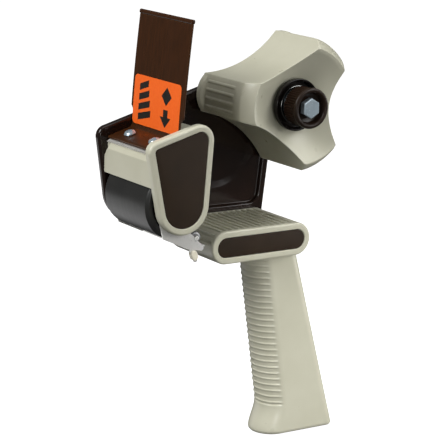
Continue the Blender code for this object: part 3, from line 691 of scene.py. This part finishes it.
def rounded_box(near, far, low, high, corner):
    """The (y, z) outline of a box with round corners."""
    left, right, down, up = near + corner, far - corner, low + corner, high - corner
    outline = []
    for y, z, first in ((left, down, 180), (right, down, 270), (right, up, 0), (left, up, 90)):
        outline += arc(y, z, corner, first, first + 90)
    return outline


def label_shapes():
    """Made-up shapes, as (y, z) outlines: slanted bars, a diamond and an arrow."""
    shapes = {}
    bars, low, left, tall, pitch, slant = 4, -8.0, 18.0, 3.6, 5.4, 3.0
    for k in range(bars):
        z, right = low + pitch * k, 5.6 + 1.2 * k
        shapes[f"bar_{k}"] = [(left, z), (left, z + tall), (right, z + tall + slant), (right, z + slant)]
    middle, height, reach = -9.6, 8.6, 5.0
    sides = [(0.0, -reach), (reach, 0.0), (0.0, reach), (-reach, 0.0)]
    shapes["diamond"] = [(middle + y, height + z) for y, z in sides]
    head, stem, tip, neck, top = 5.4, 2.2, -8.2, -2.6, 1.4
    arrow = [
        (0.0, tip), (-head, neck), (-stem, neck), (-stem, top), (stem, top), (stem, neck), (head, neck),
    ]
    shapes["arrow"] = [(middle + y, z) for y, z in arrow]
    return shapes


def make_label(orange, ink):
    """A plain orange sticker with made-up shapes on it."""
    outline = rounded_box(*LABEL_Y, *LABEL_Z, corner=2.6)
    gap, sticker_thick, ink_thick = 0.02, 0.12, 0.05
    label = flap_film("flap_label_film", outline, gap, sticker_thick, orange)
    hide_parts("flap_label")
    for name, shape in label_shapes().items():
        flap_film(f"pictogram_{name}", shape, gap + sticker_thick + gap, ink_thick, ink)


def grip_front(z):
    """The x of the grip's front edge, which slopes and then flares out at the butt."""
    high, low, x_high, x_low = GRIP_HIGH, -178.0, -20.7, -7.1
    flare_top, flare = -176.0, 6.5
    straight = x_high + (x_low - x_high) * (z - high) / (low - high)
    return straight - flare * smooth_step((flare_top - z) / (flare_top - BUTT_Z))


def grip_rear(z):
    """The x of the grip's rear edge."""
    x_high, slope = 11.0, 0.287
    return x_high + slope * (GRIP_HIGH - z)


def grip_ring(z, inset):
    """The grip's section, with shallow finger ribs across its front."""
    side, rib_run, rib_fade = GRIP_HALF - REAR_RADIUS, 1.0, 3.0
    front, rear = grip_front(z), grip_rear(z)
    circles = [
        (front + NOSE_RADIUS, 0.0, NOSE_RADIUS), (rear - REAR_RADIUS, -side, REAR_RADIUS),
        (rear - REAR_RADIUS, side, REAR_RADIUS),
    ]
    outer, inner = belt(circles, -inset), belt(circles, -inset - rib_run)
    depth = rib_depth(z)
    points = []
    for (x, y), (deep_x, deep_y) in zip(outer, inner):
        share = depth * smooth_step((front + RIB_REACH - x) / rib_fade)
        points.append(at(x + (deep_x - x) * share, y + (deep_y - y) * share, z))
    return points


def rib_depth(z):
    """How deep the surface lies between the finger ribs, which are narrow and round."""
    if not RIB_LOW < z < RIB_HIGH:
        return 0.0
    from_crest = abs((RIB_HIGH - z) / RIB_PITCH % 1.0 - 0.5) * RIB_PITCH
    fade = smooth_step(RIB_HIGH - z) * smooth_step(z - RIB_LOW)
    return RIB_DEPTH * fade * smooth_step(from_crest)


def make_handle(surface):
    """Thumb platform with grooves that wrap round its front, and the grip."""
    handle = belt_plate("handle_shell", PLATFORM, PLATFORM_NEAR, PLATFORM_FAR, surface, 1.2, 0.8)
    top, soft, rows = -80.0, 2.0, 480
    low = BUTT_Z + soft
    levels = [(top + (low - top) * k / rows, 0.0) for k in range(rows + 1)]
    for turn in (0.5, 1.0, math.pi / 2):
        levels.append((BUTT_Z + soft * (1 - math.sin(turn)), soft * (1 - math.cos(turn))))
    grip = loft("grip", [grip_ring(z, inset) for z, inset in levels])
    combine(handle, [panel_recess("platform_recess", PLATFORM, PLATFORM_NEAR), platform_grooves()], [grip])
    add_piece(handle, "frame", "beige_plastic", "handle")


def groove_places():
    """Middle, outward direction and depth of each groove: along the top, then shallower down the front."""
    front_x, middle_z, radius = PLATFORM[1]
    places = []
    for i in range(GROOVES_ON_TOP):
        place = Vector((GROOVE_REAR - GROOVE_PITCH * i, 0, middle_z + radius))
        places.append((place, Vector((0, 0, 1)), GROOVE_DEPTH))
    for i in range(GROOVES_ON_FRONT):
        past_edge = GROOVE_PITCH * (GROOVES_ON_TOP + i) + front_x - GROOVE_REAR
        turn = math.pi / 2 + past_edge / radius
        outward = Vector((math.cos(turn), 0, math.sin(turn)))
        places.append((Vector((front_x, 0, middle_z)) + outward * radius, outward, GROOVE_DEPTH * 0.5))
    return places


def platform_grooves():
    """A cutter for the grooves, which have round ends, floors and lips."""
    half, lip = GROOVE_HALF, 0.15
    bm = bmesh.new()
    for place, outward, depth in groove_places():
        across = Vector((outward.z, 0, -outward.x))
        floor = ((half - 0.4, -depth), (half - 0.1, 0.3 - depth))
        rings = []
        for width, height in (*floor, (half, -lip), (half + lip, 0.0), (half + lip, 1.0)):
            outline = arc(GROOVE_FAR, 0.0, width, -90, 90, 6) + arc(GROOVE_NEAR, 0.0, width, 90, 270, 6)
            centre = place + outward * height
            rings.append([at(*(centre + across * z + Vector((0, y, 0)))) for y, z in outline])
        skin(bm, rings)
    return object_from("grooves", bm)


def from_lobe(turn):
    """The angle from the middle of the nearest lobe."""
    return (turn - LOBE_ANGLE + math.pi / 3) % (math.tau / 3) - math.pi / 3


def from_scallop(turn):
    """The angle from the middle of the nearest hollow."""
    return (turn - LOBE_ANGLE) % (math.tau / 3) - math.pi / 3


def hub_edge(turn, inward=0.0, outward=0.0):
    """The radius of the hub's outline in a direction, with its walls moved inward and its lobes outward."""
    corner = 0.9
    core = CORE_RADIUS - inward + outward
    scallop = SCALLOP_RADIUS + inward
    angle = from_scallop(turn)
    side = SCALLOP_DISTANCE * math.sin(angle)
    if abs(side) >= scallop:
        return core
    hollow = SCALLOP_DISTANCE * math.cos(angle) - math.sqrt(scallop**2 - side**2)
    return smooth_min(core, hollow, corner)


def hub_face(radius):
    """Depth of the hub's near face: a shallow cone round the brake, then a steep shoulder."""
    slope = (CREST - FACE_DEPTH) / (CREST_RADIUS - FACE_START)
    if radius <= CREST_RADIUS:
        return FACE_DEPTH + slope * (radius - FACE_START)
    share = min((radius - CREST_RADIUS) / (CORE_RADIUS - CREST_RADIUS), 1.0)
    return CREST + (SHOULDER_END - CREST) * share**1.25


def lip_height(turn, y):
    """How far a lobe's round lip stands out at its far end."""
    lip_start, lip_rise = 18.4, 2.4
    angle = from_lobe(turn)
    side = LIP_DISTANCE * math.sin(angle)
    if abs(side) >= LIP_RADIUS:
        return 0.0
    reach = LIP_DISTANCE * math.cos(angle) + math.sqrt(LIP_RADIUS**2 - side**2)
    return max(reach - CORE_RADIUS, 0.0) * smooth_step((y - lip_start) / lip_rise)


def lobe_rib(turn, y):
    """How far the four ribs that grip the core stand out from a lobe."""
    pitch, near, far, high, soft_end = math.radians(7.0), -9.5, 17.4, 0.75, 1.2
    position = from_lobe(turn) / pitch + 2.0
    across = abs(position % 1.0 - 0.5) / 0.2
    ends = min(y - near, far - y) / soft_end
    if not 0.0 < position < 4.0 or across >= 1.0 or ends <= 0.0:
        return 0.0
    return high * math.sqrt(1 - across * across) * math.sqrt(1 - (1 - min(ends, 1.0)) ** 2)


def hub_outside(turn, low):
    """(radius, y) points along the outside of the hub's wall, from its far end down to low."""
    far_edge = hub_edge(turn, outward=lip_height(turn, HUB_FAR))
    points = [(far_edge - inset, HUB_FAR - rise) for rise, inset in quarter(0.7, 3)]
    high, rows = HUB_FAR - 1.2, 60
    for k in range(rows + 1):
        y = high + (low - high) * k / rows
        points.append((hub_edge(turn, outward=lip_height(turn, y)) + lobe_rib(turn, y), y))
    return points


def hub_near_face(rim):
    """(radius, y) points across the near face, from its rim over the narrow crest to the brake."""
    crest = min(CREST_RADIUS, rim - 0.6)
    shoulder_steps, face_steps, crest_half = 4, 10, 0.25
    outer, inner = crest + crest_half, crest - crest_half
    radii = [rim + (outer - rim) * k / shoulder_steps for k in range(1, shoulder_steps + 1)]
    radii += [inner + (FACE_START - inner) * k / face_steps for k in range(face_steps + 1)]
    return [(radius, hub_face(radius)) for radius in radii]


def hub_inside(inner):
    """(radius, y) points from the brake's seat, along the bush's tube and the inside of the hub's wall."""
    seat, bore, tube, tube_end = FACE_DEPTH + 0.2, 8.3, 11.5, 22.9
    middle = inner * 0.7
    return [
        (FACE_START - 0.4, seat), (bore, seat), (bore, tube_end), (tube, tube_end), (tube, seat + HUB_WALL),
        (middle, hub_face(middle) + HUB_WALL), (inner, hub_face(inner) + HUB_WALL + 0.5),
        (inner, HUB_FAR - 0.3), (inner + 0.3, HUB_FAR),
    ]


def hub_column(turn):
    """(radius, y) points round the hub's wall in one direction, as a closed loop."""
    edge, soft = hub_edge(turn), 0.7
    corner, rim = (edge, hub_face(edge)), (edge - soft, hub_face(edge - soft))
    low = corner[1] + soft
    points = hub_outside(turn, low) + rounded((edge, low), corner, rim, 5)[1:]
    return points + hub_near_face(rim[0]) + hub_inside(hub_edge(turn, inward=HUB_WALL))


def make_tape_hub(surface):
    """Three lobes joined by round hollows, as one smooth lattice of columns."""
    half_lobe, lobe_steps, scallop_steps = math.radians(18.0), 84, 34
    gap = math.tau / 3 - 2 * half_lobe
    turns = []
    for lobe in range(3):
        middle = LOBE_ANGLE + math.tau * lobe / 3
        turns += [middle - half_lobe + 2 * half_lobe * k / lobe_steps for k in range(lobe_steps)]
        turns += [middle + half_lobe + gap * k / scallop_steps for k in range(scallop_steps)]
    rings = [[around((0.0, 0.0), radius, turn, y) for radius, y in hub_column(turn)] for turn in turns]
    hub = loft("tape_hub_shell", rings, surface, closed=True, sharp=40)
    add_piece(hub, "tape_hub", "beige_plastic", "tape_hub")


def knurled(name, axis, profile, teeth, depth, ridged, surface):
    """A turned piece whose rows marked as ridged carry straight teeth."""
    steps = 8
    sides = teeth * steps
    rings = []
    for (radius, y), is_ridged in zip(profile, ridged):
        ring = []
        for i in range(sides):
            drop = depth * (1 - abs(math.sin(math.pi * i / steps))) ** 1.2 if is_ridged else 0.0
            ring.append(around(axis, radius - drop, math.tau * i / sides, y))
        rings.append(ring)
    return loft(name, rings, surface, closed=True, sharp=50)


def make_brake_knob(surface):
    """Hollow knob: a smooth rounded front ring and a finely toothed body."""
    front, back = KNOB_FRONT, KNOB_BACK
    bore, cavity, body, ring = 3.3, 9.4, 10.9, 11.4
    web_front, web_back = front + 4.5, front + 6.5
    profile = [
        (bore, web_back), (cavity, web_back), (cavity, back), (body - 0.7, back),
        (body - 0.15, back - 0.4), (body, back - 0.9), (body, front + 3.2),
        (ring - 0.4, front + 2.5), (ring - 0.05, front + 1.7), (ring, front + 1.0),
        (ring - 0.25, front + 0.4), (ring - 0.8, front), (9.6, front), (9.05, front + 0.3),
        (8.8, front + 0.9), (8.5, front + 4.0), (7.9, web_front), (bore, web_front),
    ]
    ridged = [4 <= i <= 6 for i in range(len(profile))]      # the body's rows
    teeth, tooth_depth = 48, 1.0
    knob = knurled("brake_knob_shell", (0.0, 0.0), profile, teeth, tooth_depth, ridged, surface)
    add_piece(knob, "knob", "brown_plastic", "brake_knob")


def make_one_way_roller(surface):
    """Straight-knurled steel roller that grips the tape's adhesive side."""
    near, far = extent("one_way_roller", 1)
    bore, radius, chamfer = 1.7, 3.6, 0.6
    end = radius - chamfer
    profile = [
        (bore, near), (end, near), (radius, near + chamfer),
        (radius, far - chamfer), (end, far), (bore, far),
    ]
    ridged = [row_radius == radius for row_radius, _ in profile]
    teeth, tooth_depth = 32, 0.3
    roller = knurled("one_way_roller_knurled", ONE_WAY_AXIS, profile, teeth, tooth_depth, ridged, surface)
    add_piece(roller, "one_way", "knurled_steel", "one_way_roller")


def wire(name, points, radius, surface):
    """A round wire along world points, with closed ends."""
    sides = 10
    angles = [math.tau * k / sides for k in range(sides)]
    side = Vector((0.31, 0.87, 0.39))      # any direction that no wire starts along
    rings = []
    for i, point in enumerate(points):
        along = (points[min(i + 1, len(points) - 1)] - points[max(i - 1, 0)]).normalized()
        side = (side - along * side.dot(along)).normalized()
        other = along.cross(side)
        rings.append([point + (side * math.cos(a) + other * math.sin(a)) * (radius * MM) for a in angles])
    return loft(name, rings, surface, sharp=60)


def make_brake_spring(surface):
    """Compression coil, built at one fixed length; the real coil shortens as the knob is screwed in."""
    start, end, coil, wire_radius, turns, steps = -17.6, -23.1, 7.8, 0.55, 3.75, 36
    closing = 0.3                  # how far the end coils are drawn together
    count = int(turns * steps)
    points = []
    for i in range(count + 1):
        share = smooth_step(i / count) * closing + (1 - closing) * i / count
        points.append(around((0.0, 0.0), coil, math.tau * i / steps, start + (end - start) * share))
    spring = wire("brake_spring_coil", points, wire_radius, surface)
    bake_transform(spring)
    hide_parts("brake_spring")


def make_nip_spring(surface):
    """Tension coil with straight hooks, from the post on the frame to the bracket's ear."""
    x, y = (sum(extent("nip_spring", axis)) / 2 for axis in (0, 1))
    bottom, top = extent("nip_spring", 2)
    bottom, top = bottom + 0.4, top - 0.4
    hook, coil, wire_radius, turns, steps = 3.6, 1.7, 0.35, 13, 20
    straight = hook * 0.6
    points = [at(x, y, top), at(x, y, top - straight)]
    for i in range(turns * steps + 1):
        angle = math.tau * i / steps
        z = top - hook - (top - bottom - 2 * hook) * i / (turns * steps)
        points.append(at(x + coil * math.cos(angle), y + coil * math.sin(angle), z))
    points += [at(x, y, bottom + straight), at(x, y, bottom)]
    spring = wire("nip_spring_coil", points, wire_radius, surface)
    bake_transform(spring)
    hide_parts("nip_spring")


def dress_cad_nodes(materials):
    """Gives each CAD node its finish, and softens and smooths the ones that are shown."""
    slots = {part["node"]: part["material_slot"] for part in frame["record"]["subparts"]}
    slots["thrust_washer"] = "polished_steel"      # turned, and shinier than the plated sheet
    for name, node in frame["nodes"].items():
        node.data.materials.clear()
        node.data.materials.append(materials[slots[name]])
        if node.hide_render:
            continue
        weld = node.modifiers.new("weld", "WELD")
        weld.merge_threshold = 1e-6
        flatten = node.modifiers.new("flatten", "DECIMATE")
        flatten.decimate_type = "DISSOLVE"
        flatten.angle_limit = math.radians(0.5)
        bevel = node.modifiers.new("soft edges", "BEVEL")
        bevel.width = SOFT_EDGE * MM
        bevel.segments = 2
        bevel.limit_method = "ANGLE"
        bevel.angle_limit = math.radians(SHARP_ANGLE)
        bevel.harden_normals = False
        node.data.shade_smooth()
        weigh_normals(node)


def make_pieces(materials):
    beige, panel, zinc = materials["beige_plastic"], materials["insert_brown"], materials["zinc_steel"]
    make_side_frame(materials["dark_brown_plastic"])
    make_head_cover(beige)
    make_insert("head_insert_panel", HEAD_CIRCLES, NEAR_FACE, "head_insert", panel)
    make_insert("platform_insert_panel", PLATFORM, PLATFORM_NEAR, "platform_insert", panel)
    make_flap(materials["flap_brown"])
    make_label(materials["orange_label"], materials["label_ink"])
    make_handle(beige)
    make_tape_hub(beige)
    make_brake_knob(materials["brown_plastic"])
    make_one_way_roller(materials["knurled_steel"])
    make_brake_spring(zinc)
    make_nip_spring(zinc)
    dress_cad_nodes(materials)


# ---------------------------------------------------------------- camera, light and floor

def direction(azimuth, elevation):
    """The direction from the object to a viewer or light: azimuth 0 is the near side, -90 the front."""
    a, e = math.radians(azimuth), math.radians(elevation)
    return Vector((math.sin(a) * math.cos(e), -math.cos(a) * math.cos(e), math.sin(e)))


def add_camera():
    azimuth, elevation, roll = -33.90, 13.05, math.radians(1.76)
    place = Vector((-0.61975, -0.84573, 0.36538))
    back = direction(azimuth, elevation)
    right = Vector((math.cos(math.radians(azimuth)), math.sin(math.radians(azimuth)), 0.0))
    up = back.cross(right)
    tilted_right = right * math.cos(roll) + up * math.sin(roll)
    tilted_up = up * math.cos(roll) - right * math.sin(roll)
    data = bpy.data.cameras.new("camera")
    data.sensor_width = 36.0
    data.lens = 153.2
    data.clip_start = 0.01
    data.clip_end = 50.0
    camera = bpy.data.objects.new("camera", data)
    turn = Matrix((tilted_right, tilted_up, back)).transposed().to_4x4()
    camera.matrix_world = Matrix.Translation(place) @ turn
    bpy.context.scene.collection.objects.link(camera)
    bpy.context.scene.camera = camera


def softbox(name, azimuth, elevation, distance, size, power, aim=(-0.04, 0.0, 0.13), spread=180):
    """A square area light aimed at a point of the object, with a beam of the spread in degrees."""
    data = bpy.data.lights.new(name, "AREA")
    data.spread = math.radians(spread)
    data.size = size
    data.energy = power
    lamp = bpy.data.objects.new(name, data)
    outward = direction(azimuth, elevation)
    lamp.location = Vector(aim) + outward * distance
    lamp.rotation_euler = outward.to_track_quat("Z", "Y").to_euler()
    bpy.context.scene.collection.objects.link(lamp)


def add_world():
    """A pale backdrop beyond the floor, and a dimmer soft tent that lights the object from all round."""
    world = bpy.data.worlds.new("tent")
    world.use_nodes = True
    bpy.context.scene.world = world
    nodes, links = world.node_tree.nodes, world.node_tree.links
    tent = nodes["Background"]
    tent.inputs["Color"].default_value = (1.0, 1.0, 0.99, 1.0)
    tent.inputs["Strength"].default_value = TENT
    backdrop = nodes.new("ShaderNodeBackground")
    backdrop.inputs["Strength"].default_value = 1.0
    paths = nodes.new("ShaderNodeLightPath")
    mix = nodes.new("ShaderNodeMixShader")
    links.new(paths.outputs["Is Camera Ray"], mix.inputs[0])
    links.new(tent.outputs["Background"], mix.inputs[1])
    links.new(backdrop.outputs["Background"], mix.inputs[2])
    links.new(mix.outputs["Shader"], nodes["World Output"].inputs["Surface"])


def add_floor():
    """White paper just under the butt, which neither lights the object nor shows in it."""
    radius, gap = 6.0, 0.0003
    pale, shade = (0.40, 0.40, 0.40), (0.37, 0.37, 0.37)
    bm = bmesh.new()
    bmesh.ops.create_circle(bm, cap_ends=True, segments=96, radius=radius)
    glow = {"Emission Color": (1.0, 1.0, 1.0, 1.0), "Emission Strength": 1.0}
    finish = Finish("floor_paper", settings=glow)
    finish.colour(finish.mix(finish.spread(finish.noise(4.0), 0.0, 1.0), pale, shade))
    finish.roughness(finish.spread(finish.noise(30.0), 0.85, 0.95))
    floor = object_from("floor", bm, finish.material)
    floor.location.z = CAD_BOUNDS[0][2] - gap
    floor.visible_diffuse = False
    floor.visible_glossy = False


def add_studio():
    """Camera, tent, floor and lamps, each lamp at (azimuth, elevation, distance, size, power)."""
    add_camera()
    add_world()
    add_floor()
    softbox("key", -84, 40, 1.2, 0.6, 12.5)
    softbox("top", -10, 78, 1.2, 0.8, 3.0)
    softbox("near", 38, 27, 1.3, 0.7, 6.8)
    softbox("right", 62, 10, 0.6, 0.25, 0.16, aim=(0.01, 0.0, 0.02), spread=50)
    softbox("low", -14, 9, 0.6, 0.2, 0.09, aim=(0.01, 0.0, 0.02), spread=40)
    softbox("edge", 80, 52, 0.9, 0.35, 1.0, aim=(0.0, 0.0, 0.14))
    softbox("behind", -160, -28, 0.26, 0.18, 0.10, aim=(-0.09, 0.0, 0.14))
    bpy.context.scene.view_settings.view_transform = "Standard"


materials = make_materials()
make_pieces(materials)
add_studio()
